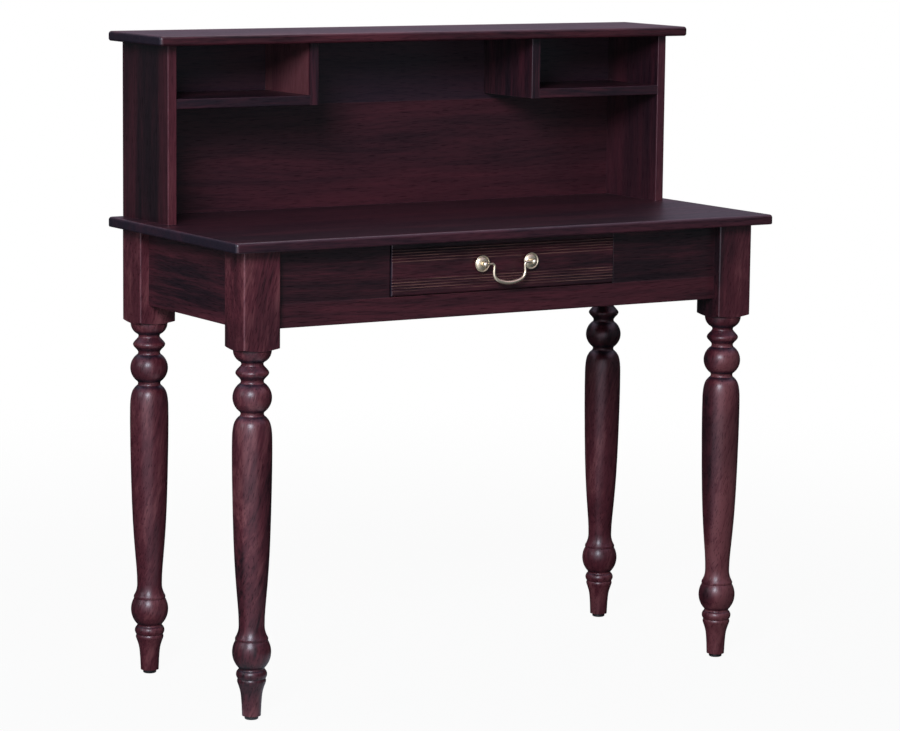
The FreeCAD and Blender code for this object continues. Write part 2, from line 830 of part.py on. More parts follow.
def post_nut(place):
    nut = hexagon_nut(post_nut_flats, post_nut_thickness, post_shank_diameter / 2 + post_shank_clearance)
    return placed(nut, place + BACKWARD * drawer_front_thickness, BACKWARD)


def bail_point(out, up, side=Side.RIGHT):
    """A point of the bail at a distance from its middle and a height over its pivot."""
    return Vector(side * out, bail_axis, handle_height + up)


def bail_half():
    """Points of the right half of the bail's middle line, from the post to the bottom of the bow.

    A shoulder turns the line down and a little outward, an arm runs on from it, and a corner
    turns it in to a shallow bow. Each arc has its end points and a point between them.
    """
    lean = math.radians(bail_arm_lean)
    slope = math.radians(bail_bow_slope)
    inner = bail_arm_spacing / 2

    def on_arc(middle, radius, angle):
        return (middle[0] + radius * math.cos(angle), middle[1] + radius * math.sin(angle))
    shoulder = (inner + bail_shoulder_round, -bail_shoulder_round)
    shoulder_arc = [on_arc(shoulder, bail_shoulder_round, angle)
                    for angle in (math.pi / 2, (math.pi * 3 / 2 + lean) / 2, math.pi + lean)]
    corner_turn = bail_corner_round * (math.cos(slope) + math.sin(lean))
    corner_reach = bail_corner_round * (math.cos(lean) - math.sin(slope))
    arm_high = shoulder_arc[-1]

    def bow_sag(arm_drop):
        end = arm_high[0] + arm_drop * math.tan(lean) - corner_reach
        return end * math.tan(slope / 2)
    flat_drop = bail_drop + arm_high[1] - corner_turn
    arm_drop = (flat_drop - bow_sag(0)) / (1 + math.tan(lean) * math.tan(slope / 2))
    arm_low = (arm_high[0] + arm_drop * math.tan(lean), arm_high[1] - arm_drop)
    corner = on_arc(arm_low, bail_corner_round, math.pi + lean)
    corner_arc = [on_arc(corner, bail_corner_round, angle)
                  for angle in (lean, (lean - math.pi / 2 + slope) / 2, slope - math.pi / 2)]
    return shoulder_arc, corner_arc


def in_pieces(arc):
    """The edges of an arc cut into short arcs, so that a sweep along it keeps its roundness."""
    edge = arc.toShape()
    turn = (edge.LastParameter - edge.FirstParameter) / bail_arc_pieces
    return edge.split([edge.FirstParameter + turn * piece for piece in range(1, bail_arc_pieces)]).Edges


def bail_spine():
    """The bail's middle line as two halves, each of lines and arcs that run on smoothly."""
    shoulder_arc, corner_arc = bail_half()
    start = (post_spacing / 2 - post_ball_diameter / 2 - bail_post_gap, 0)
    bottom = (0, -bail_drop)
    bow_radius = corner_arc[-1][0] / math.sin(math.radians(bail_bow_slope))
    half_turn = math.radians(bail_bow_slope) / 2
    bow_middle = (bow_radius * math.sin(half_turn), -bail_drop + bow_radius * (1 - math.cos(half_turn)))
    edges = []
    for side in Side:
        def at(point):
            return bail_point(point[0], point[1], side)
        half = [Part.makeLine(at(start), at(shoulder_arc[0])),
                *in_pieces(Part.Arc(*[at(point) for point in shoulder_arc])),
                Part.makeLine(at(shoulder_arc[-1]), at(corner_arc[0])),
                *in_pieces(Part.Arc(*[at(point) for point in corner_arc])),
                *in_pieces(Part.Arc(at(corner_arc[-1]), at(bow_middle), at(bottom)))]
        edges.append(half)
    return edges[0] + edges[1][::-1]


def bail_section(diameter, point, direction):
    return Part.Wire(Part.makeCircle(diameter / 2, point, direction))


def bail():
    """The bail, swept along its middle line and thickest at its lowest point, with a pin at each end."""
    corner_arc = bail_half()[-1]
    start = post_spacing / 2 - post_ball_diameter / 2 - bail_post_gap
    sweep = Part.BRepOffsetAPI.MakePipeShell(Part.Wire(bail_spine()))
    inward = Vector(1, 0, 0)
    lean = math.radians(bail_arm_lean)
    for side in Side:
        arm_way = Vector(side * math.sin(lean), 0, -math.cos(lean))
        sweep.add(bail_section(bail_end_diameter, bail_point(start, 0, side), inward))
        sweep.add(bail_section(bail_end_diameter, bail_point(*corner_arc[0], side), arm_way))
    sweep.add(bail_section(bail_middle_diameter, bail_point(0, -bail_drop), inward))
    sweep.build()
    sweep.makeSolid()
    pins = [rod(bail_pin_diameter / 2, bail_point(post_spacing / 2 - bail_post_gap, 0, side),
                Vector(-side, 0, 0), post_ball_diameter / 2) for side in Side]
    return sweep.shape().fuse(pins).removeSplitter()


# All the nodes

corners = [(side, end) for end in End for side in Side]


def named(place):
    """The word for a side or an end, as it stands in the names of the nodes."""
    return place.name.lower()


def desk_nodes():
    nodes = {"writing_top": writing_top(), "front_rail": front_rail(), "rear_apron": rear_apron()}
    for side, end in corners:
        name = named(end) + "_" + named(side)
        nodes[name + "_leg"] = leg(side, end)
        nodes[name + "_glide"] = glide(side, end)
        nodes[name + "_corner_block"] = corner_block(side, end)
    nodes["leg_bolts"] = group([hanger_bolt(*corner) for corner in corners])
    nodes["leg_washers"] = group([corner_washer(*corner) for corner in corners])
    nodes["leg_nuts"] = group([corner_nut(*corner) for corner in corners])
    for side in Side:
        name = named(side)
        nodes["front_" + name + "_panel"] = front_panel(side)
        nodes[name + "_side_apron"] = side_apron(side)
        nodes[name + "_drawer_runner"] = drawer_runner(side)
        nodes[name + "_drawer_guide"] = drawer_guide(side)
        nodes[name + "_drawer_kicker"] = drawer_kicker(side)
        nodes[name + "_drawer_stop"] = drawer_stop(side)
    for name, ranges in cleat_ranges().items():
        nodes[name + "_top_cleat"] = cleat(ranges)
    nodes["cleat_screws"] = screws(all_cleat_screw_places(), UPWARD, cleat_screw_length)
    return nodes


def hutch_nodes():
    nodes = {"hutch_top": hutch_top()}
    for side in Side:
        name = named(side)
        nodes["hutch_" + name + "_side"] = hutch_side(side)
        nodes[name + "_shelf"] = shelf(side)
        nodes[name + "_divider"] = divider(side)
    nodes["hutch_lower_back"] = back_board((writing_height, back_joint))
    nodes["hutch_upper_back"] = back_board((back_joint, hutch_top_low))
    nodes["hutch_dowels"] = group([hutch_dowel(place) for place in dowel_places()])
    nodes["hutch_screws"] = screws(hutch_screw_places(), UPWARD, hutch_screw_length)
    nodes["hutch_back_screws"] = screws(back_screw_places(), FORWARD, back_screw_length)
    return nodes


def drawer_nodes():
    nodes = {"drawer_front": drawer_front(), "drawer_back": drawer_back(), "drawer_bottom": drawer_bottom()}
    for place, side in zip(post_places(), Side):
        name = named(side)
        nodes["drawer_" + name + "_side"] = drawer_side(side)
        nodes[name + "_rosette"] = rosette(place)
        nodes[name + "_handle_post"] = handle_post(place, side)
    nodes["handle_nuts"] = group([post_nut(place) for place in post_places()])
    nodes["bail_handle"] = bail()
    return nodes


os.makedirs("parts", exist_ok=True)
for node, shape in {**desk_nodes(), **hutch_nodes(), **drawer_nodes()}.items():
    shape.exportStep("parts/" + node + ".step")
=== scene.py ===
import math

import bpy
from mathutils import Matrix, Vector


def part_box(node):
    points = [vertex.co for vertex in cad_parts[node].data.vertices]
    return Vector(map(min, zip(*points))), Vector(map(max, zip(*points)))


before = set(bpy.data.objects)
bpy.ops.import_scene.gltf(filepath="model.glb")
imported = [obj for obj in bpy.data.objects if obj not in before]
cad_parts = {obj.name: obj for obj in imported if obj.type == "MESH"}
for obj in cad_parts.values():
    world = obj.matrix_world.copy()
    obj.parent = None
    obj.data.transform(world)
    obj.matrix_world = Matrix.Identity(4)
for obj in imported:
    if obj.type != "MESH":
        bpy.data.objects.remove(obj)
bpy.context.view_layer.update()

bl_info = {
    "name": "Bonheur du jour",
    "version": (1, 0, 0),
    "blender": (4, 5, 0),
    "location": "View3D > Sidebar > Desk",
    "description": "Stained and lacquered writing desk with a hutch, one drawer and a brass bail handle",
    "category": "Object",
}

# How much of its tone end grain loses, how much painted sheen (a bluish veil standing in for reflections) it
# holds, and the refractive index of the lacquer.
END_GRAIN_LOSS = 1.2
END_GRAIN_SHEEN = 0.36
LACQUER_INDEX = 1.45

# Degrees from the front towards the left at which the key lamp and the pale screen stand.
KEY_AZIMUTH = 43.0

# The steel of the fasteners; the brass has the first values of the metal's settings.
STEEL = {"bright": (0.56, 0.55, 0.53), "tarnish": (0.2, 0.17, 0.14), "roughness": 0.35}

FLOAT = "NodeSocketFloat"
COLOUR = "NodeSocketColor"
VECTOR = "NodeSocketVector"


class Sheet:
    """A node tree with short calls that add a node and join its sockets."""

    def __init__(self, tree):
        self.tree = tree

    def join(self, socket, value):
        """Link an output to a socket, or write a plain value into it."""
        if isinstance(value, bpy.types.NodeSocket):
            self.tree.links.new(value, socket)
        else:
            socket.default_value = value

    def node(self, kind, sockets=None, **settings):
        """Add a node with its settings and its input sockets."""
        made = self.tree.nodes.new(kind)
        for name, value in settings.items():
            setattr(made, name, value)
        for name, value in (sockets or {}).items():
            self.join(made.inputs[name], value)
        return made

    def math(self, operation, first, second=0.0, third=0.0, clamp=False):
        """One step of arithmetic on values."""
        sockets = {0: first, 1: second, 2: third}
        return self.node("ShaderNodeMath", sockets, operation=operation, use_clamp=clamp).outputs[0]

    def vector(self, operation, first, second):
        """One step of arithmetic on vectors."""
        return self.node("ShaderNodeVectorMath", {0: first, 1: second}, operation=operation).outputs[0]

    def axes(self, place):
        """The X, Y and Z of a place."""
        return self.node("ShaderNodeSeparateXYZ", {0: place}).outputs

    def length(self, place):
        """The distance of a place from the origin."""
        return self.node("ShaderNodeVectorMath", {0: place}, operation="LENGTH").outputs["Value"]

    def dot(self, first, second):
        """The dot product of two vectors."""
        sockets = {0: first, 1: second}
        return self.node("ShaderNodeVectorMath", sockets, operation="DOT_PRODUCT").outputs["Value"]

    def place(self):
        """The place on the piece, in metres of the shared frame."""
        return self.node("ShaderNodeTexCoord").outputs["Object"]

    def facing(self):
        """The way that the surface faces."""
        return self.node("ShaderNodeNewGeometry").outputs["Normal"]

    def noise(self, place, stretch, detail=2.0, roughness=0.5, output="Fac"):
        """Noise on a place stretched by a count per metre along each axis."""
        spread = self.vector("MULTIPLY", place, stretch)
        sockets = {"Vector": spread, "Scale": 1.0, "Detail": detail, "Roughness": roughness}
        return self.node("ShaderNodeTexNoise", sockets).outputs[output]

    def step(self, value, low, high, start=0.0, end=1.0):
        """A soft step from start to end as the value goes from low to high."""
        sockets = {"Value": value, "From Min": low, "From Max": high, "To Min": start, "To Max": end}
        return self.node("ShaderNodeMapRange", sockets, interpolation_type="SMOOTHSTEP").outputs[0]

    def blend(self, amount, first, second, way="MIX"):
        """Mix two colours."""
        made = self.node("ShaderNodeMix", data_type="RGBA", blend_type=way)
        self.join(made.inputs[0], amount)
        self.join(made.inputs[6], first)
        self.join(made.inputs[7], second)
        return made.outputs[2]

    def weighed(self, start, *pairs):
        """A start value plus each value times its weight."""
        total = start
        for value, weight in pairs:
            total = self.math("MULTIPLY_ADD", value, weight, total)
        return total

    def centred(self, value):
        """A noise value moved so that it swings about zero."""
        return self.math("SUBTRACT", value, 0.5)


def new_group(name, inputs, outputs):
    """An empty shader group with its named sockets, its sheet and the values given to it."""
    tree = bpy.data.node_groups.new(name, "ShaderNodeTree")
    for label, kind, value in inputs:
        tree.interface.new_socket(name=label, in_out="INPUT", socket_type=kind).default_value = value
    for label, kind in outputs:
        tree.interface.new_socket(name=label, in_out="OUTPUT", socket_type=kind)
    sheet = Sheet(tree)
    return tree, sheet, sheet.node("NodeGroupInput").outputs


def stained_wood_group():
    """Long grain, streaks, pores and dark patches of boards glued side by side.

    The grain vector runs along the board, across it and through it, in metres.
    """
    name = "stained_wood"
    if name in bpy.data.node_groups:
        return bpy.data.node_groups[name]
    tree, sheet, given = new_group(
        name,
        [
            ("Grain", VECTOR, (0.0, 0.0, 0.0)),
            ("Seed", FLOAT, 0.0),
            ("Board Width", FLOAT, 10.0),
            ("Board Contrast", FLOAT, 0.0),
            ("Tone", FLOAT, 0.5),
            ("Figure", FLOAT, 1.0),
            ("Patches", FLOAT, 0.5),
            ("Dark", COLOUR, (0.01, 0.004, 0.008, 1.0)),
            ("Red", COLOUR, (0.07, 0.018, 0.026, 1.0)),
            ("Pale", COLOUR, (0.16, 0.055, 0.06, 1.0)),
            ("Roughness", FLOAT, 0.45),
            ("Lacquer", FLOAT, 0.6),
        ],
        [("Colour", COLOUR), ("Roughness", FLOAT), ("Lacquer", FLOAT), ("Height", FLOAT)],
    )
    # Counts per metre along, across and through the board.
    wander_count, figure_count, streak_count = (1.7, 9.0, 9.0), (1.9, 22.0, 22.0), (4.5, 75.0, 75.0)
    fibre_count, pore_count, patch_count = (17.0, 320.0, 320.0), (48.0, 1100.0, 1100.0), (3.4, 10.0, 10.0)
    # Where the noise turns to a pore or a patch, and where the tone turns from dark to red and to pale.
    pore_range, patch_range, red_range, pale_range = (0.62, 0.74), (0.54, 0.72), (-0.15, 1.05), (0.8, 1.5)
    # How far each board's grain is moved and how far the grain wanders, in metres.
    board_shift, wander_reach = (9.0, 3.0, 3.0), (0.0, 0.05, 0.05)
    patch_depth, pore_depth, pore_colour = 0.7, 0.45, (0.004, 0.002, 0.003, 1.0)

    share = sheet.math("DIVIDE", sheet.axes(given["Grain"])["Y"], given["Board Width"])
    board = sheet.math("FLOOR", sheet.math("ADD", share, given["Seed"]))
    number = sheet.math("ADD", board, given["Seed"])
    draw = sheet.node("ShaderNodeTexWhiteNoise", {"W": number}, noise_dimensions="1D")
    shift = sheet.vector("MULTIPLY", draw.outputs["Color"], board_shift)
    place = sheet.vector("ADD", given["Grain"], shift)
    wander = sheet.noise(place, wander_count, 1.0, output="Color")
    drift = sheet.vector("MULTIPLY", sheet.vector("SUBTRACT", wander, (0.5, 0.5, 0.5)), wander_reach)
    fibre_place = sheet.vector("ADD", place, drift)

    figure = sheet.centred(sheet.noise(fibre_place, figure_count, 2.0))
    streak = sheet.centred(sheet.noise(fibre_place, streak_count, 2.0))
    fibre = sheet.centred(sheet.noise(fibre_place, fibre_count, 2.0, 0.6))
    pore = sheet.step(sheet.noise(place, pore_count, 0.0), *pore_range)
    patch = sheet.step(sheet.noise(place, patch_count, 1.0), *patch_range)

    boards = sheet.math("MULTIPLY", sheet.centred(draw.outputs["Value"]), given["Board Contrast"])
    grain = sheet.weighed(0.0, (figure, 1.5), (streak, 1.3), (fibre, 1.2))
    tone = sheet.math("MULTIPLY_ADD", grain, given["Figure"], sheet.math("ADD", given["Tone"], boards))
    colour = sheet.blend(sheet.step(tone, *red_range), given["Dark"], given["Red"])
    colour = sheet.blend(sheet.step(tone, *pale_range), colour, given["Pale"])
    dimmed = sheet.blend(patch_depth, colour, given["Dark"])
    colour = sheet.blend(sheet.math("MULTIPLY", patch, given["Patches"]), colour, dimmed)
    colour = sheet.blend(sheet.math("MULTIPLY", pore, pore_depth), colour, pore_colour)

    rough = sheet.weighed(given["Roughness"], (streak, -0.16), (fibre, 0.14), (pore, 0.12))
    height = sheet.weighed(0.5, (fibre, 0.7), (streak, 0.4), (pore, -0.6))
    thinned = sheet.weighed(1.0, (pore, -0.4), (fibre, 0.5), (streak, 0.3))
    lacquer = sheet.math("MULTIPLY", thinned, given["Lacquer"], clamp=True)
    results = {"Colour": colour, "Roughness": rough, "Lacquer": lacquer, "Height": height}
    sheet.node("NodeGroupOutput", results)
    return tree


def rubbed_edge_group():
    """A mask of the arrises, where hands and dusters have thinned the stain."""
    name = "rubbed_edge"
    if name in bpy.data.node_groups:
        return bpy.data.node_groups[name]
    tree, sheet, given = new_group(
        name,
        [("Radius", FLOAT, 0.0025), ("Amount", FLOAT, 0.5), ("Seed", FLOAT, 0.0)],
        [("Mask", FLOAT)],
    )
    # How alike the rounded and the true facing are off and on an arris, and how the rubbing breaks up.
    edge_range, broken_count, broken_range = (0.995, 0.86), (45.0, 45.0, 45.0), (0.36, 0.62, 0.35, 1.0)
    rounded = sheet.node("ShaderNodeBevel", {"Radius": given["Radius"]}, samples=6).outputs[0]
    edge = sheet.step(sheet.dot(rounded, sheet.facing()), *edge_range)
    moved = sheet.vector("ADD", sheet.place(), given["Seed"])
    broken = sheet.step(sheet.noise(moved, broken_count, 3.0), *broken_range)
    mask = sheet.math("MULTIPLY", sheet.math("MULTIPLY", edge, broken), given["Amount"], clamp=True)
    sheet.node("NodeGroupOutput", {"Mask": mask})
    return tree


def handled_metal_group():
    """Polished metal with a cloudy tarnish, fine scratches and darker hollows."""
    name = "handled_metal"
    if name in bpy.data.node_groups:
        return bpy.data.node_groups[name]
    tree, sheet, given = new_group(
        name,
        [
            ("Place", VECTOR, (0.0, 0.0, 0.0)),
            ("Bright", COLOUR, (0.8, 0.6, 0.3, 1.0)),
            ("Tarnish", COLOUR, (0.3, 0.18, 0.07, 1.0)),
            ("Roughness", FLOAT, 0.2),
            ("Hollow", FLOAT, 0.003),
        ],
        [("Colour", COLOUR), ("Roughness", FLOAT), ("Height", FLOAT)],
    )
    cloud_count, cloud_range, cloud_depth = (160.0, 160.0, 160.0), (0.42, 0.75), 0.45
    hollow_range, hollow_depth = (0.75, 0.25), 0.8
    scratch_count = (300.0, 2600.0, 2600.0)
    cloud = sheet.step(sheet.noise(given["Place"], cloud_count, 4.0, 0.6), *cloud_range)
    scratch = sheet.noise(given["Place"], scratch_count, 2.0)
    shelter = sheet.node("ShaderNodeAmbientOcclusion", {"Distance": given["Hollow"]}, samples=6).outputs["AO"]
    hollow = sheet.step(shelter, *hollow_range)
    dull = sheet.math("MAXIMUM", sheet.math("MULTIPLY", cloud, cloud_depth),
                      sheet.math("MULTIPLY", hollow, hollow_depth))
    colour = sheet.blend(dull, given["Bright"], given["Tarnish"])
    rough = sheet.weighed(given["Roughness"], (dull, 0.22), (sheet.centred(scratch), 0.12))
    sheet.node("NodeGroupOutput", {"Colour": colour, "Roughness": rough, "Height": scratch})
    return tree


def solid(colour):
    """A colour with full alpha."""
    return (*colour, 1.0)


def new_material(name, shown):
    """An empty material, the colour it shows in the viewport and its sheet."""
    material = bpy.data.materials.new(name)
    material.use_nodes = True
    material.diffuse_color = solid(shown)
    material.node_tree.nodes.clear()
    return material, Sheet(material.node_tree)


def dress(material, nodes):
    """Give every named CAD piece the material."""
    for name in nodes:
        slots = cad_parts[name].data.materials
        slots.clear()
        slots.append(material)


def grain_vector(sheet, place, along, across, curl=1.0, slant=0.0, spread=1.0):
    """Turn a place into along, across and through the board, with shorter, slanting or wider grain."""
    axes = sheet.axes(place)
    through = ({"X", "Y", "Z"} - {along, across}).pop()
    length = sheet.math("MULTIPLY", axes[along], curl)
    width = sheet.math("MULTIPLY_ADD", axes[along], slant, axes[across])
    made = sheet.node("ShaderNodeCombineXYZ", {0: length, 1: width, 2: axes[through]}).outputs[0]
    return sheet.vector("MULTIPLY", made, (1.0, 1.0 / spread, 1.0 / spread))


def end_grain(sheet, along):
    """A mask of the faces that cut across the grain and drink more stain."""
    end_range = (0.5, 0.85)
    lengthwise = sheet.axes(sheet.facing())[along]
    return sheet.step(sheet.math("ABSOLUTE", lengthwise), *end_range)


def tone_by_place(sheet, place, along, axis, stops, wander=0.0):
    """A tone that follows the given stops (metres, tone) along one axis and wanders with the grain."""
    count_along, count_across = 4.0, 40.0
    stretch = [count_along if each == along else count_across for each in "XYZ"]
    value = sheet.weighed(sheet.axes(place)[axis], (sheet.centred(sheet.noise(place, stretch)), wander))
    low, high = stops[0][0], stops[-1][0]
    sockets = {"Value": value, "From Min": low, "From Max": high}
    share = sheet.node("ShaderNodeMapRange", sockets).outputs[0]
    ramp = sheet.node("ShaderNodeValToRGB", {"Fac": share})
    ramp.color_ramp.interpolation = "EASE"
    marks = ramp.color_ramp.elements
    while len(marks) < len(stops):
        marks.new(0.5)
    for mark, (position, _) in zip(marks, stops):
        mark.position = (position - low) / (high - low)
    for mark, (_, tone) in zip(marks, stops):
        mark.color = (tone, tone, tone, 1.0)
    return sheet.node("ShaderNodeSeparateColor", {0: ramp.outputs["Color"]}).outputs[0]


def stain(context, name, nodes, along, across, seed, tone=0.4, bands=None, board=10.0,
          contrast=0.0, figure=1.0, patches=0.5, wear=0.25, curl=1.0, slant=0.0,
          spread=1.0, painted_sheen=0.0, extra=None):
    """Stained and lacquered wood on the named pieces, with its grain along one axis.

    Each band is an axis, its stops and how far it wanders, and multiplies the tone; some bands paint light
    and shade onto faces. The bluish veil is painted sheen that stands in for the haze of reflections on the
    lacquer.
    """
    finish = context.scene.desk_wood
    material, sheet = new_material(name, finish.red)
    place = sheet.place()
    level = tone
    for band in bands or ():
        level = sheet.math("MULTIPLY", tone_by_place(sheet, place, along, *band), level)
    ends = end_grain(sheet, along)
    level = sheet.math("MULTIPLY", sheet.math("MULTIPLY_ADD", ends, -END_GRAIN_LOSS, 1.0), level)
    wood = sheet.node("ShaderNodeGroup", {
        "Grain": grain_vector(sheet, place, along, across, curl, slant, spread), "Seed": seed,
        "Board Width": board, "Board Contrast": contrast, "Tone": level, "Figure": figure, "Patches": patches,
        "Dark": solid(finish.dark), "Red": solid(finish.red), "Pale": solid(finish.pale),
        "Roughness": finish.roughness, "Lacquer": finish.lacquer,
    }, node_tree=stained_wood_group())
    edge = sheet.node("ShaderNodeGroup", {"Amount": wear, "Seed": seed}, node_tree=rubbed_edge_group())
    # Painted sheen: a bluish veil over the colour, stronger on end grain, stands in for the haze of
    # reflections on the lacquer.
    veil = sheet.math("MAXIMUM", sheet.math("MULTIPLY", ends, END_GRAIN_SHEEN), painted_sheen)
    colour = sheet.blend(veil, wood.outputs["Colour"], solid(finish.painted_sheen))
    colour = sheet.blend(edge.outputs["Mask"], colour, solid(finish.worn))
    if extra:
        colour = extra(sheet, place, colour, finish)
    bump = sheet.node("ShaderNodeBump", {"Strength": finish.relief_strength, "Distance": finish.relief,
                                         "Height": wood.outputs["Height"]})
    shader = sheet.node("ShaderNodeBsdfPrincipled", {
        "Base Color": colour, "Roughness": wood.outputs["Roughness"], "Normal": bump.outputs[0],
        "Specular IOR Level": 0.0, "Coat Weight": wood.outputs["Lacquer"],
        "Coat Roughness": finish.lacquer_roughness, "Coat IOR": LACQUER_INDEX,
    })
    sheet.node("ShaderNodeOutputMaterial", {"Surface": shader.outputs[0]})
    dress(material, nodes)


def raw_wood(context, name, nodes, along, across, seed):
    """Unpolished inside wood with the same grain in lighter colours."""
    finish = context.scene.desk_inside
    material, sheet = new_material(name, finish.light)
    place = sheet.place()
    wood = sheet.node("ShaderNodeGroup", {
        "Grain": grain_vector(sheet, place, along, across), "Seed": seed, "Tone": 0.5, "Figure": 0.8,
        "Patches": 0.25, "Dark": solid(finish.dark), "Red": solid(finish.light), "Pale": solid(finish.light),
        "Roughness": finish.roughness,
    }, node_tree=stained_wood_group())
    bump = sheet.node("ShaderNodeBump", {"Strength": 0.35, "Distance": finish.relief,
                                         "Height": wood.outputs["Height"]})
    shader = sheet.node("ShaderNodeBsdfPrincipled", {
        "Base Color": wood.outputs["Colour"], "Roughness": wood.outputs["Roughness"],
        "Normal": bump.outputs[0], "Specular IOR Level": 0.3,
    })
    sheet.node("ShaderNodeOutputMaterial", {"Surface": shader.outputs[0]})
    dress(material, nodes)


def metal(name, nodes, finish, hollow):
    """Handled metal on the named pieces."""
    material, sheet = new_material(name, finish.bright)
    look = sheet.node("ShaderNodeGroup", {
        "Place": sheet.place(), "Bright": solid(finish.bright), "Tarnish": solid(finish.tarnish),
        "Roughness": finish.roughness, "Hollow": hollow,
    }, node_tree=handled_metal_group())
    bump = sheet.node("ShaderNodeBump", {"Strength": 0.08, "Distance": 0.0001,
                                         "Height": look.outputs["Height"]})
    shader = sheet.node("ShaderNodeBsdfPrincipled", {
        "Base Color": look.outputs["Colour"], "Metallic": 1.0, "Roughness": look.outputs["Roughness"],
        "Normal": bump.outputs[0],
    })
    sheet.node("ShaderNodeOutputMaterial", {"Surface": shader.outputs[0]})
    dress(material, nodes)


def worn_and_lit_reeds(sheet, place, colour, finish):
    """Thin pale lines on the ridge below each groove of the drawer front: partly rubbed wood, partly a
    painted highlight where the ridges catch the light.
    """
    low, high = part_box("drawer_front")
    margin, pitch, count = 0.010, 0.0045, 5
    line_range, groove_depth, ridge_depth, strength = (0.19, 0.06), 0.0009, 0.0004, 0.75
    worn_count, worn_range = (14.0, 60.0, 240.0), (0.34, 0.66, 0.15, 1.0)
    axes = sheet.axes(place)
    lines = 0.0
    for foot in (low.z + margin - pitch, high.z - margin - pitch * count):
        share = sheet.math("MULTIPLY_ADD", axes["Z"], 1.0 / pitch, -foot / pitch)
        within = sheet.math("MULTIPLY", sheet.math("GREATER_THAN", share, 0.0),
                            sheet.math("LESS_THAN", share, float(count)))
        off = sheet.math("ABSOLUTE", sheet.centred(sheet.math("FRACT", share)))
        lines = sheet.math("MULTIPLY_ADD", sheet.step(off, *line_range), within, lines)
    ridge = sheet.step(axes["Y"], low.y + groove_depth, low.y + ridge_depth)
    worn = sheet.step(sheet.noise(place, worn_count, 2.0), *worn_range)
    amount = sheet.math("MULTIPLY", sheet.math("MULTIPLY", lines, ridge), worn)
    return sheet.blend(sheet.math("MULTIPLY", amount, strength), colour, solid(finish.reed_wear_and_highlight))


class WoodFinish(bpy.types.PropertyGroup):
    """The stain and lacquer of the outside wood"""

    dark: bpy.props.FloatVectorProperty(
        name="Dark grain", description="Stain colour in the dark grain", subtype="COLOR",
        min=0.0, max=1.0, default=(0.009, 0.0026, 0.0046))
    red: bpy.props.FloatVectorProperty(
        name="Red grain", description="Stain colour in the red grain", subtype="COLOR",
        min=0.0, max=1.0, default=(0.078, 0.0132, 0.0200))
    pale: bpy.props.FloatVectorProperty(
        name="Pale streaks", description="Stain colour in the palest streaks", subtype="COLOR",
        min=0.0, max=1.0, default=(0.15, 0.042, 0.047))
    worn: bpy.props.FloatVectorProperty(
        name="Rubbed edges", description="Colour of the wood where the edges are rubbed", subtype="COLOR",
        min=0.0, max=1.0, default=(0.11, 0.046, 0.058))
    # Colour of the reed lines: partly rubbed wood, partly a painted highlight where the ridges catch the
    # light.
    reed_wear_and_highlight: bpy.props.FloatVectorProperty(
        name="Rubbed reeds", description="Colour of the wood on the ridges of the drawer front",
        subtype="COLOR", min=0.0, max=1.0, default=(0.21, 0.10, 0.075))
    # Colour of the painted sheen, a bluish veil that stands in for the haze of reflections on the lacquer.
    painted_sheen: bpy.props.FloatVectorProperty(
        name="Bloom", description="Colour of the bluish film of dust and old polish", subtype="COLOR",
        min=0.0, max=1.0, default=(0.019, 0.016, 0.031))
    roughness: bpy.props.FloatProperty(
        name="Roughness", description="Mean roughness of the stained surface", subtype="FACTOR",
        min=0.0, max=1.0, default=0.5)
    lacquer: bpy.props.FloatProperty(
        name="Lacquer", description="Weight of the lacquer coat", subtype="FACTOR",
        min=0.0, max=1.0, default=1.0)
    lacquer_roughness: bpy.props.FloatProperty(
        name="Lacquer roughness", description="Roughness of the lacquer coat", subtype="FACTOR",
        min=0.0, max=1.0, default=0.34)
    relief: bpy.props.FloatProperty(
        name="Grain relief", description="Depth of the grain under the lacquer", unit="LENGTH",
        min=0.0, max=0.005, default=0.0004)
    relief_strength: bpy.props.FloatProperty(
        name="Relief strength", description="How clearly the grain relief shows", subtype="FACTOR",
        min=0.0, max=1.0, default=0.25)


class InsideWood(bpy.types.PropertyGroup):
    """The plain wood inside the desk"""

    dark: bpy.props.FloatVectorProperty(
        name="Dark grain", description="Colour of the dark grain", subtype="COLOR",
        min=0.0, max=1.0, default=(0.11, 0.055, 0.03))
    light: bpy.props.FloatVectorProperty(
        name="Light grain", description="Colour of the light grain", subtype="COLOR",
        min=0.0, max=1.0, default=(0.3, 0.17, 0.09))
    roughness: bpy.props.FloatProperty(
        name="Roughness", description="Mean roughness of the plain wood", subtype="FACTOR",
        min=0.0, max=1.0, default=0.65)
    relief: bpy.props.FloatProperty(
        name="Grain relief", description="Depth of the open grain", unit="LENGTH",
        min=0.0, max=0.005, default=0.0005)


class MetalFinish(bpy.types.PropertyGroup):
    """A metal that hands have polished"""

    bright: bpy.props.FloatVectorProperty(
        name="Bright metal", description="Colour of the polished metal", subtype="COLOR",
        min=0.0, max=1.0, default=(0.88, 0.77, 0.56))
    tarnish: bpy.props.FloatVectorProperty(
        name="Tarnish", description="Colour of the metal in hollows and cloudy spots", subtype="COLOR",
        min=0.0, max=1.0, default=(0.44, 0.33, 0.18))
    roughness: bpy.props.FloatProperty(
        name="Roughness", description="Roughness of the polished metal", subtype="FACTOR",
        min=0.0, max=1.0, default=0.38)


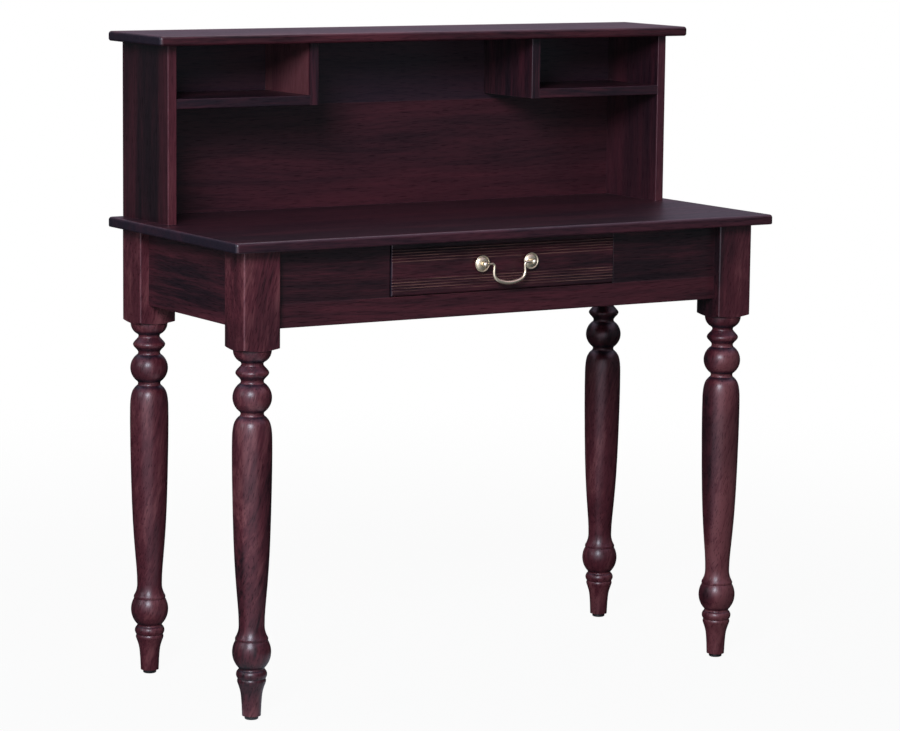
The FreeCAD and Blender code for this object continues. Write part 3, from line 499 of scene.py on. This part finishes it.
class StageSettings(bpy.types.PropertyGroup):
    """The studio floor, lamps and camera"""

    camera_place: bpy.props.FloatVectorProperty(
        name="Camera place", description="Where the camera stands", subtype="TRANSLATION",
        default=(-2.9423, -4.8176, 1.3384))
    heading: bpy.props.FloatProperty(
        name="Heading", description="Turn of the camera about the upright", unit="ROTATION",
        default=math.radians(-31.5260))
    tilt: bpy.props.FloatProperty(
        name="Tilt", description="Slope of the camera's line of sight", unit="ROTATION",
        default=math.radians(-8.3220))
    roll: bpy.props.FloatProperty(
        name="Roll", description="Turn of the camera about its line of sight", unit="ROTATION",
        default=math.radians(0.6296))
    lens: bpy.props.FloatProperty(
        name="Lens", description="Focal length in millimetres on a 36 mm sensor", min=10.0, default=136.696)
    floor_colour: bpy.props.FloatVectorProperty(
        name="Floor", description="Colour of the pale floor", subtype="COLOR",
        min=0.0, max=1.0, default=(0.45, 0.45, 0.45))
    key_power: bpy.props.FloatProperty(
        name="Key lamp", description="Power of the soft lamp beside the camera", unit="POWER",
        min=0.0, default=205.0)
    fill_power: bpy.props.FloatProperty(
        name="Side lamp", description="Power of the cool lamp on the left", unit="POWER",
        min=0.0, default=22.0)
    top_power: bpy.props.FloatProperty(
        name="Top lamp", description="Power of the broad lamp overhead", unit="POWER",
        min=0.0, default=30.0)
    room_light: bpy.props.FloatProperty(
        name="Room light", description="Strength of the even light from all round", subtype="FACTOR",
        min=0.0, max=1.0, default=0.06)
    front_light: bpy.props.FloatProperty(
        name="Front screen", description="Brightness of the pale screen behind the camera",
        min=0.0, max=4.0, default=1.6)
    roof_light: bpy.props.FloatProperty(
        name="Roof", description="Brightness of the screen overhead",
        min=0.0, max=4.0, default=0.9)
    screen_light: bpy.props.FloatProperty(
        name="Grey screens", description="Brightness of the screens that the lacquer mirrors",
        subtype="FACTOR", min=0.0, max=1.0, default=0.11)
    glow_light: bpy.props.FloatProperty(
        name="Back glow", description="Brightness of the screens opposite the camera", subtype="FACTOR",
        min=0.0, max=1.0, default=0.32)


class DESK_OT_writing_top(bpy.types.Operator):
    """Stain and lacquer the writing top"""

    bl_idname = "desk.writing_top"
    bl_label = "Writing top"

    def execute(self, context):
        # Painted light: the front edge of the writing top is painted lighter than its top, standing in for
        # the light on its rounded front edge.
        edge = ("Y", [(-0.225, 0.62), (-0.2215, 0.54), (-0.214, 0.23), (0.225, 0.21)])
        stain(context, "top_stain", ["writing_top"], "X", "Y", 3.0, tone=1.0, bands=[edge], board=0.15,
              contrast=0.35, figure=0.8, painted_sheen=0.14)
        return {"FINISHED"}


class DESK_OT_case(bpy.types.Operator):
    """Stain and lacquer the aprons, the rail and the panels beside the drawer"""

    bl_idname = "desk.case"
    bl_label = "Aprons and rail"

    def execute(self, context):
        # Painted shade: the side aprons are painted darker towards the writing top, as if shaded by its
        # overhang.
        side = ("Z", [(0.622, 0.48), (0.665, 0.34), (0.7, 0.14), (0.7475, 0.16)], 0.02)
        for name, seed in (("left_side_apron", 11.0), ("right_side_apron", 12.0)):
            stain(context, name + "_stain", [name], "Y", "Z", seed, tone=1.0, bands=[side], patches=0.4,
                  painted_sheen=0.05)
        stain(context, "rear_apron_stain", ["rear_apron"], "X", "Z", 13.0, tone=0.35)
        stain(context, "rail_stain", ["front_rail"], "X", "Z", 14.0, tone=0.38, patches=0.4, figure=0.8)
        stain(context, "left_panel_stain", ["front_left_panel"], "X", "Z", 15.0, tone=0.12, figure=0.7)
        stain(context, "right_panel_stain", ["front_right_panel"], "X", "Z", 16.0, tone=0.12, figure=0.7)
        return {"FINISHED"}


class DESK_OT_legs(bpy.types.Operator):
    """Stain and lacquer the four turned legs"""

    bl_idname = "desk.legs"
    bl_label = "Turned legs"

    def execute(self, context):
        # Painted light and shade: the front right leg's inner face and turned head are painted darker and its
        # shaft lighter, and the rear right leg is painted darker from the neck up, where the case shades
        # them.
        shaded_inner_face = ("X", [(0.4185, 0.0), (0.4215, 0.28), (0.432, 0.95), (0.4835, 1.0)])
        lit_shaft_shaded_head = ("Z", [(0.006, 1.3), (0.52, 1.3), (0.575, 0.72), (0.7475, 0.72)])
        shaded_neck = ("Z", [(0.006, 1.0), (0.44, 1.0), (0.53, 0.45), (0.7475, 0.3)])
        legs = (
            ("front_left_leg", 21.0, 0.8, None, 1.35),
            ("front_right_leg", 22.0, 1.0, [shaded_inner_face, lit_shaft_shaded_head], 0.9),
            ("rear_left_leg", 23.0, 0.88, None, 1.0),
            ("rear_right_leg", 24.0, 0.95, [shaded_neck], 1.0),
        )
        for name, seed, tone, bands, figure in legs:
            stain(context, name + "_stain", [name], "Z", "X", seed, tone=tone, bands=bands, figure=figure,
                  wear=0.1, curl=1.7, slant=-0.25, spread=1.6)
        return {"FINISHED"}


class DESK_OT_hutch(bpy.types.Operator):
    """Stain and lacquer the hutch, its shelves and its dividers"""

    bl_idname = "desk.hutch"
    bl_label = "Hutch"

    def execute(self, context):
        # Painted light: the front edges of the hutch sides are painted lighter, standing in for the light on
        # their front arrises.
        lit_front_edge = ("Y", [(0.0605, 2.1), (0.0635, 1.0), (0.2235, 1.0)])
        left = ("Y", [(0.0605, 0.42), (0.085, 0.26), (0.105, 0.0), (0.15, 0.0), (0.182, 0.26),
                      (0.2235, 0.2)], 0.03)
        right = ("Y", [(0.0605, 0.42), (0.085, 0.34), (0.15, 0.28), (0.17, 0.5), (0.2235, 0.3)], 0.03)
        lit = ("Y", [(0.0605, 0.12), (0.0645, 0.3), (0.068, 1.35), (0.2135, 1.35)])
        shaded = ("Y", [(0.0605, 0.12), (0.0645, 0.3), (0.068, 0.25), (0.2135, 0.25)])
        stain(context, "hutch_top_stain", ["hutch_top"], "X", "Y", 31.0, tone=0.36)
        stain(context, "hutch_left_stain", ["hutch_left_side"], "Z", "Y", 32.0, tone=1.0,
              bands=[lit_front_edge, left], figure=0.6, patches=0.2)
        stain(context, "hutch_right_stain", ["hutch_right_side"], "Z", "Y", 33.0, tone=1.0,
              bands=[lit_front_edge, right], figure=0.6, patches=0.2, painted_sheen=0.12)
        # The upper back holds the most painted sheen, a bluish veil for the haze of reflections in the
        # pigeonholes.
        stain(context, "lower_back_stain", ["hutch_lower_back"], "X", "Z", 34.0, tone=0.47, figure=0.48,
              patches=0.35, painted_sheen=0.07)
        stain(context, "upper_back_stain", ["hutch_upper_back"], "X", "Z", 35.0, tone=0.42, figure=0.48,
              patches=0.35, painted_sheen=0.4)
        for name, seed in (("left_shelf", 36.0), ("right_shelf", 37.0)):
            stain(context, name + "_stain", [name], "X", "Y", seed, tone=0.28, painted_sheen=0.15)
        for name, seed, band in (("left_divider", 38.0, lit), ("right_divider", 39.0, shaded)):
            stain(context, name + "_stain", [name], "Z", "Y", seed, tone=1.0, bands=[band], painted_sheen=0.12)
        return {"FINISHED"}


class DESK_OT_drawer(bpy.types.Operator):
    """Stain the drawer front and dress the drawer box"""

    bl_idname = "desk.drawer"
    bl_label = "Drawer"

    def execute(self, context):
        stain(context, "drawer_front_stain", ["drawer_front"], "X", "Z", 41.0, tone=0.36, figure=0.8,
              extra=worn_and_lit_reeds)
        raw_wood(context, "drawer_side_wood", ["drawer_left_side", "drawer_right_side"], "Y", "Z", 42.0)
        raw_wood(context, "drawer_cross_wood", ["drawer_back", "drawer_bottom"], "X", "Z", 43.0)
        return {"FINISHED"}


class DESK_OT_inner_frame(bpy.types.Operator):
    """Dress the runners, guides, kickers, stops, cleats, corner blocks and dowels"""

    bl_idname = "desk.inner_frame"
    bl_label = "Inner frame"

    def execute(self, context):
        sides = ("left", "right")
        kinds = ("runner", "guide", "kicker", "stop")
        strips = [f"{side}_drawer_{kind}" for side in sides for kind in kinds]
        raw_wood(context, "frame_wood", strips + ["left_top_cleat", "right_top_cleat"], "Y", "X", 51.0)
        blocks = [f"{end}_{side}_corner_block" for end in ("front", "rear") for side in sides]
        raw_wood(context, "block_wood", blocks + ["rear_top_cleat"], "X", "Y", 52.0)
        raw_wood(context, "dowel_wood", ["hutch_dowels"], "Z", "X", 53.0)
        return {"FINISHED"}


class DESK_OT_handle(bpy.types.Operator):
    """Polish the brass handle, its posts and its rosettes"""

    bl_idname = "desk.handle"
    bl_label = "Brass handle"

    def execute(self, context):
        pieces = ["bail_handle", "left_handle_post", "right_handle_post", "left_rosette", "right_rosette",
                  "handle_nuts"]
        metal("handle_brass", pieces, context.scene.desk_brass, hollow=0.003)
        return {"FINISHED"}


class DESK_OT_fasteners(bpy.types.Operator):
    """Dress the steel bolts, washers, nuts and screws"""

    bl_idname = "desk.fasteners"
    bl_label = "Fasteners"

    def execute(self, context):
        pieces = ["leg_bolts", "leg_washers", "leg_nuts", "cleat_screws", "hutch_screws", "hutch_back_screws"]
        metal("fastener_steel", pieces, context.scene.desk_steel, hollow=0.002)
        return {"FINISHED"}


class DESK_OT_glides(bpy.types.Operator):
    """Dress the dark glides under the feet"""

    bl_idname = "desk.glides"
    bl_label = "Foot glides"

    def execute(self, context):
        shown, black, dusty = (0.012, 0.012, 0.013), (0.010, 0.010, 0.011), (0.05, 0.047, 0.045)
        dust_count, dust_range, grit_count = (220.0, 220.0, 900.0), (0.45, 0.75), (1500.0, 1500.0, 1500.0)
        roughness, dust_roughness = 0.4, 0.25
        material, sheet = new_material("glide_plastic", shown)
        place = sheet.place()
        dust = sheet.step(sheet.noise(place, dust_count, 3.0), *dust_range)
        colour = sheet.blend(dust, solid(black), solid(dusty))
        rough = sheet.math("MULTIPLY_ADD", dust, dust_roughness, roughness)
        grit = sheet.noise(place, grit_count, 2.0)
        bump = sheet.node("ShaderNodeBump", {"Strength": 0.2, "Distance": 0.0002, "Height": grit})
        shader = sheet.node("ShaderNodeBsdfPrincipled", {
            "Base Color": colour, "Roughness": rough, "Normal": bump.outputs[0]})
        sheet.node("ShaderNodeOutputMaterial", {"Surface": shader.outputs[0]})
        dress(material, [f"{end}_{side}_glide" for end in ("front", "rear") for side in ("left", "right")])
        return {"FINISHED"}


def seen_directly(sheet):
    """One for rays from the camera, from a mirror or through glass, else nought."""
    rays = sheet.node("ShaderNodeLightPath").outputs
    seen = sheet.math("MAXIMUM", rays["Is Camera Ray"], rays["Is Glossy Ray"])
    return sheet.math("MAXIMUM", seen, rays["Is Transmission Ray"])


def ring(radius, count):
    """Points on a circle about the upright axis."""
    turns = [math.tau * step / count for step in range(count)]
    return [(radius * math.cos(turn), radius * math.sin(turn)) for turn in turns]


def set_on_stage(name, points, faces, material):
    """Link a stage object made of points and faces."""
    mesh = bpy.data.meshes.new(name)
    mesh.from_pydata(points, [], faces)
    mesh.materials.append(material)
    made = bpy.data.objects.new(name, mesh)
    bpy.context.scene.collection.objects.link(made)
    return made


def lay_floor(settings):
    """A pale floor that turns to white away from the desk and keeps its shadow."""
    radius, count = 90.0, 96
    white_range = (0.8, 3.0, 0.95, 1.0)
    material, sheet = new_material("studio_floor_paint", settings.floor_colour)
    lift = sheet.step(sheet.length(sheet.place()), *white_range)
    paint = sheet.node("ShaderNodeBsdfDiffuse", {"Color": solid(settings.floor_colour)})
    white = sheet.node("ShaderNodeEmission", {"Strength": 1.0})
    share = sheet.math("MULTIPLY", lift, seen_directly(sheet))
    mixed = sheet.node("ShaderNodeMixShader", {0: share, 1: paint.outputs[0], 2: white.outputs[0]})
    sheet.node("ShaderNodeOutputMaterial", {"Surface": mixed.outputs[0]})
    points = [(x, y, 0.0) for x, y in ring(radius, count)]
    set_on_stage("studio_floor", points, [range(count)], material)


def screen_cloth(settings):
    """The cloth of the grey tent: pale towards the key lamp, lilac overhead and opposite the camera."""
    grey, lilac, pale = (0.70, 0.85, 1.0, 1.0), (0.94, 0.72, 1.0, 1.0), (0.9, 0.84, 1.0, 1.0)
    material, sheet = new_material("studio_screen_cloth", (0.12, 0.12, 0.13))
    place = sheet.place()
    height = sheet.axes(place)["Z"]
    level = sheet.vector("MULTIPLY", place, (1.0, 1.0, 0.0))
    distance = sheet.length(level)
    reach = sheet.math("MAXIMUM", distance, 0.1)
    eye = settings.camera_place
    away = Vector((-eye[0], -eye[1], 0.0)).normalized()
    bearing = sheet.math("DIVIDE", sheet.dot(level, away), reach)
    key = Vector(lamp_place((0.0, 0.0, 0.0), KEY_AZIMUTH, 0.0, 1.0))
    toward = sheet.math("DIVIDE", sheet.dot(level, key), reach)

    # Heights and distances in metres; 1 is straight away from the camera or towards the key lamp.
    behind = sheet.math("MULTIPLY", sheet.step(bearing, 0.8, 0.95), sheet.step(height, 1.5, 2.6))
    behind = sheet.math("MULTIPLY", behind, sheet.step(height, 5.2, 4.0))
    front = sheet.math("MULTIPLY", sheet.step(toward, 0.74, 0.92), sheet.step(distance, 0.8, 4.0, 0.4, 1.0))
    front = sheet.math("MULTIPLY", front, sheet.step(height, 5.2, 3.5))
    overhead = sheet.step(height, 4.9, 5.3)
    colour = sheet.blend(sheet.math("MAXIMUM", behind, overhead), grey, lilac)
    colour = sheet.blend(front, colour, pale)
    strength = sheet.math("MULTIPLY", sheet.step(distance, 3.0, 7.0, 0.7, 2.2), settings.screen_light)
    strength = sheet.math("MULTIPLY", strength, sheet.step(bearing, -0.3, 0.6, 1.0, 0.3))
    strength = sheet.weighed(strength, (behind, settings.glow_light), (front, settings.front_light),
                             (overhead, settings.roof_light))
    cloth = sheet.node("ShaderNodeEmission", {"Color": colour, "Strength": strength})
    sheet.node("ShaderNodeOutputMaterial", {"Surface": cloth.outputs[0]})
    return material


def raise_screens(settings):
    """A closed grey tent round the desk, which only the lacquer and the brass mirror."""
    radius, rise, peak, lift, count = 8.0, 5.0, 7.0, 0.0006, 48
    circle = ring(radius, count)
    points = [(x, y, lift) for x, y in circle] + [(x, y, rise) for x, y in circle]
    points += [(0.0, 0.0, lift), (0.0, 0.0, peak)]
    floor_middle, roof_middle = 2 * count, 2 * count + 1
    faces = []
    for i in range(count):
        j = (i + 1) % count
        faces += [(i, j, j + count, i + count), (i, j, floor_middle), (i + count, j + count, roof_middle)]
    made = set_on_stage("studio_screens", points, faces, screen_cloth(settings))
    made.visible_camera = False
    made.visible_diffuse = False
    made.visible_transmission = False
    made.visible_shadow = False


def hang_lamp(name, place, target, size, power, colour):
    """A rectangular soft lamp that looks at a target."""
    lamp = bpy.data.lights.new(name, "AREA")
    lamp.shape = "RECTANGLE"
    lamp.size, lamp.size_y = size
    lamp.energy = power
    lamp.color = colour
    made = bpy.data.objects.new(name, lamp)
    made.location = place
    made.rotation_euler = (Vector(target) - Vector(place)).to_track_quat("-Z", "Y").to_euler()
    made.visible_camera = False
    bpy.context.scene.collection.objects.link(made)


def lamp_place(target, azimuth, elevation, distance):
    """A point at an azimuth from the front towards the left and an elevation, in degrees."""
    turn, climb = math.radians(azimuth), math.radians(elevation)
    level = distance * math.cos(climb)
    return (target[0] - level * math.sin(turn), target[1] - level * math.cos(turn),
            target[2] + distance * math.sin(climb))


def light_world(settings):
    """Even room light, with white behind the desk where it is seen."""
    world = bpy.data.worlds.new("studio_world")
    bpy.context.scene.world = world
    world.use_nodes = True
    world.node_tree.nodes.clear()
    sheet = Sheet(world.node_tree)
    strength = sheet.node("ShaderNodeMapRange", {
        "Value": seen_directly(sheet), "To Min": settings.room_light, "To Max": 1.0}).outputs[0]
    glow = sheet.node("ShaderNodeBackground", {"Color": (1.0, 1.0, 1.0, 1.0), "Strength": strength})
    sheet.node("ShaderNodeOutputWorld", {"Surface": glow.outputs[0]})


class DESK_OT_stage(bpy.types.Operator):
    """Lay the floor, hang the lamps and set the camera"""

    bl_idname = "desk.stage"
    bl_label = "Stage"

    def execute(self, context):
        settings = context.scene.desk_stage
        lay_floor(settings)
        raise_screens(settings)
        light_world(settings)
        middle = (0.0, 0.0, 0.55)
        # Azimuth and elevation in degrees, distance and size in metres.
        lamps = (
            ("key_lamp", KEY_AZIMUTH, 26.0, 4.6, (1.3, 1.3), settings.key_power, (0.80, 0.88, 1.0)),
            ("side_lamp", 92.0, 22.0, 4.2, (1.4, 1.4), settings.fill_power, (0.82, 0.9, 1.0)),
            ("top_lamp", -150.0, 72.0, 3.8, (3.0, 2.0), settings.top_power, (0.92, 0.95, 1.0)),
        )
        for name, azimuth, elevation, distance, size, power, colour in lamps:
            hang_lamp(name, lamp_place(middle, azimuth, elevation, distance), middle, size, power, colour)
        camera = bpy.data.cameras.new("studio_camera")
        camera.sensor_width = 36.0
        camera.lens = settings.lens
        camera.clip_end = 300.0
        made = bpy.data.objects.new("studio_camera", camera)
        made.matrix_world = (
            Matrix.Translation(settings.camera_place) @ Matrix.Rotation(settings.heading, 4, "Z")
            @ Matrix.Rotation(math.pi / 2 + settings.tilt, 4, "X") @ Matrix.Rotation(settings.roll, 4, "Z"))
        context.scene.collection.objects.link(made)
        context.scene.camera = made
        context.scene.view_settings.view_transform = "Standard"
        return {"FINISHED"}


SETTINGS = {
    "desk_wood": WoodFinish, "desk_inside": InsideWood, "desk_brass": MetalFinish, "desk_steel": MetalFinish,
    "desk_stage": StageSettings,
}
OPERATORS = (
    DESK_OT_writing_top, DESK_OT_case, DESK_OT_legs, DESK_OT_hutch, DESK_OT_drawer, DESK_OT_inner_frame,
    DESK_OT_handle, DESK_OT_fasteners, DESK_OT_glides, DESK_OT_stage,
)


class DESK_PT_sidebar(bpy.types.Panel):
    """Every step of the desk, in order"""

    bl_idname = "DESK_PT_sidebar"
    bl_label = "Bonheur du jour"
    bl_space_type = "VIEW_3D"
    bl_region_type = "UI"
    bl_category = "Desk"

    def draw(self, context):
        for step in OPERATORS:
            self.layout.operator(step.bl_idname)
        for label in SETTINGS:
            box = self.layout.box()
            group = getattr(context.scene, label)
            for key in group.__annotations__:
                box.prop(group, key)


CLASSES = (WoodFinish, InsideWood, MetalFinish, StageSettings, *OPERATORS, DESK_PT_sidebar)


def register():
    """Add the settings, the steps and the sidebar."""
    for made in CLASSES:
        bpy.utils.register_class(made)
    for label, kind in SETTINGS.items():
        setattr(bpy.types.Scene, label, bpy.props.PointerProperty(type=kind))


def unregister():
    """Take away the settings, the steps and the sidebar."""
    for label in SETTINGS:
        delattr(bpy.types.Scene, label)
    for made in reversed(CLASSES):
        bpy.utils.unregister_class(made)


def main():
    """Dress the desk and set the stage."""
    register()
    for label, value in STEEL.items():
        setattr(bpy.context.scene.desk_steel, label, value)
    bpy.ops.desk.writing_top()
    bpy.ops.desk.case()
    bpy.ops.desk.legs()
    bpy.ops.desk.hutch()
    bpy.ops.desk.drawer()
    bpy.ops.desk.inner_frame()
    bpy.ops.desk.handle()
    bpy.ops.desk.fasteners()
    bpy.ops.desk.glides()
    bpy.ops.desk.stage()


if __name__ == "__main__":
    main()
